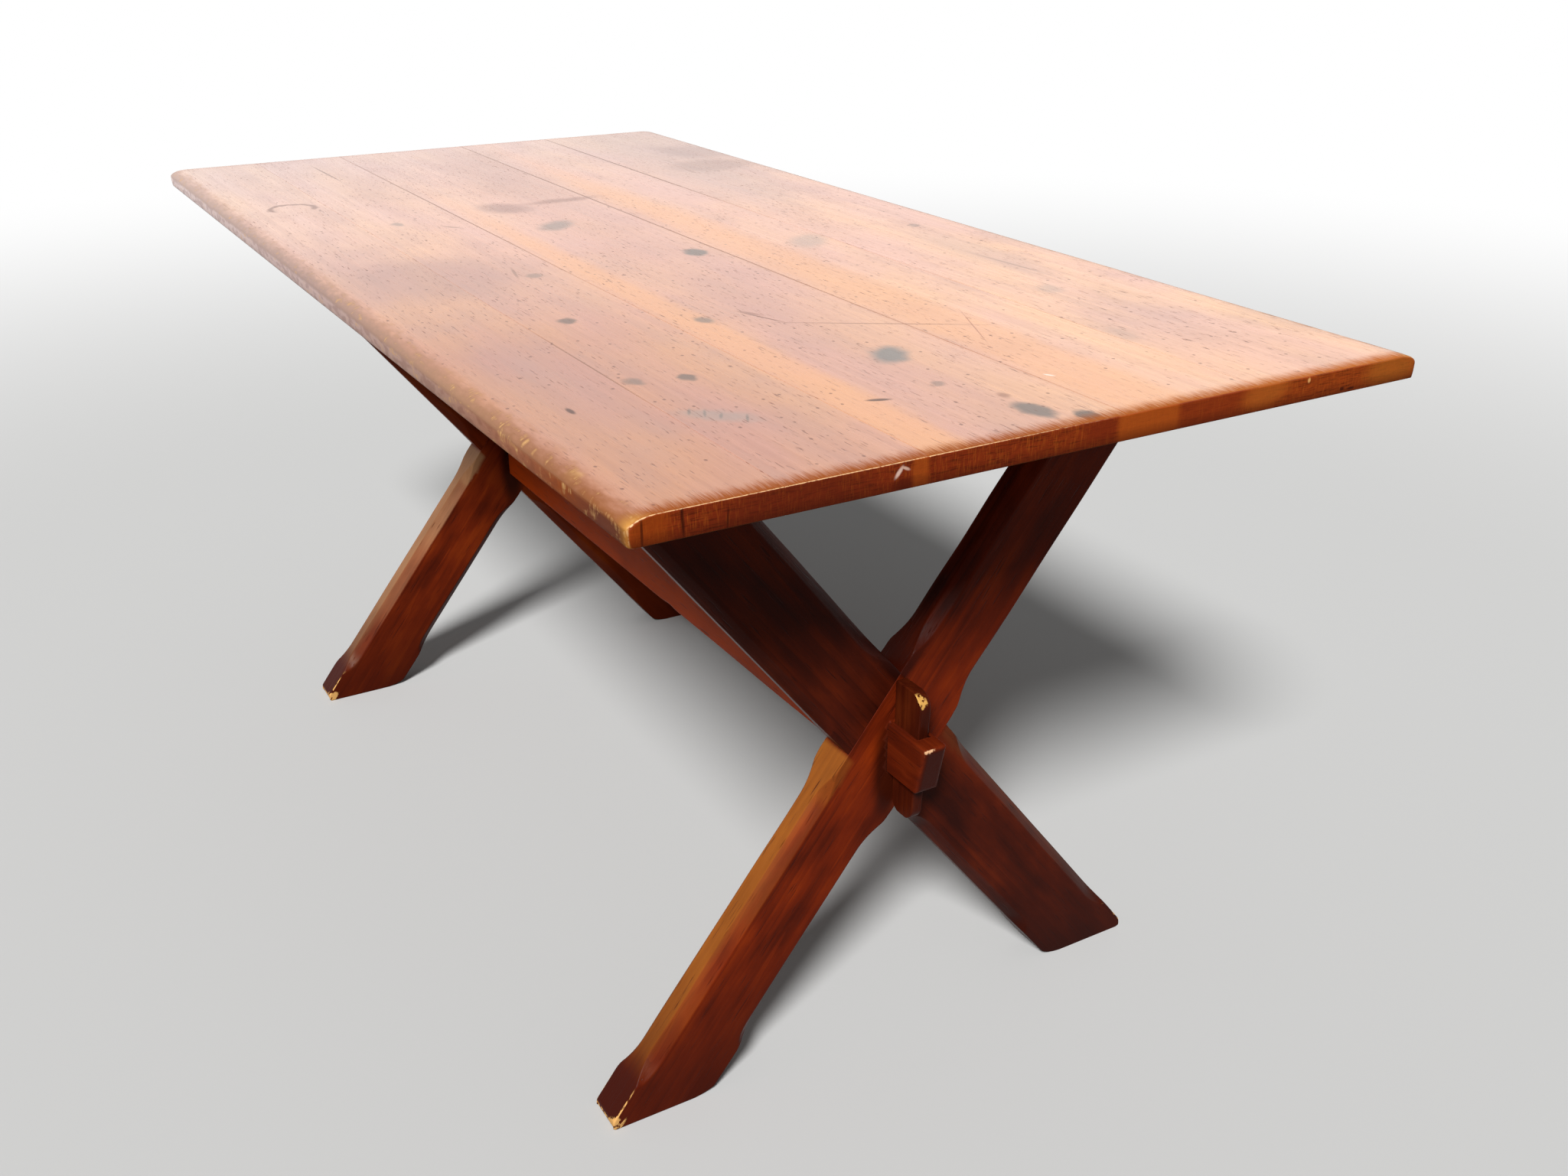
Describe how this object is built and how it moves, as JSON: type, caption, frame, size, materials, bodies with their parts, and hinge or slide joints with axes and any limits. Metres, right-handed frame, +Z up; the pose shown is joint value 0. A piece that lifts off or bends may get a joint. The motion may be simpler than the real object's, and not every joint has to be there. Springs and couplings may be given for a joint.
{
  "type": "sawbuck table",
  "caption": "Dining table with a plank top on crossed-leg trestles, held by a long stretcher whose through tenons are locked by lift-out wedges.",
  "frame": {"origin": "on the floor, under the middle of the top", "axes": "+Z up, +X along the table's length towards the front trestle, +Y across it"},
  "size_m": [1.524, 0.762, 0.737],
  "materials": {
    "top_pine": "satin",
    "leg_pine": "satin",
    "stretcher_pine": "satin",
    "wedge_pine": "satin",
    "cleat_pine": "matte",
    "screw_steel": "satin"
  },
  "bodies": {
    "table": {"top_board_1": "top_pine", "top_board_2": "top_pine", "top_board_3": "top_pine", "top_board_4": "top_pine", "top_board_5": "top_pine", "front_outer_leg": "leg_pine", "front_inner_leg": "leg_pine", "rear_outer_leg": "leg_pine", "rear_inner_leg": "leg_pine", "stretcher": "stretcher_pine", "front_cleat": "cleat_pine", "rear_cleat": "cleat_pine", "front_top_screws": "screw_steel", "rear_top_screws": "screw_steel", "front_leg_screws": "screw_steel", "rear_leg_screws": "screw_steel"},
    "front_wedge": {"front_wedge": "wedge_pine"},
    "rear_wedge": {"rear_wedge": "wedge_pine"}
  },
  "joints": [
    {"name": "front_wedge_lift", "type": "slide", "parent": "table", "child": "front_wedge", "axis": [0, 0, 1], "range_m": [0, 0.11]},
    {"name": "rear_wedge_lift", "type": "slide", "parent": "table", "child": "rear_wedge", "axis": [0, 0, 1], "range_m": [0, 0.11]}
  ]
}
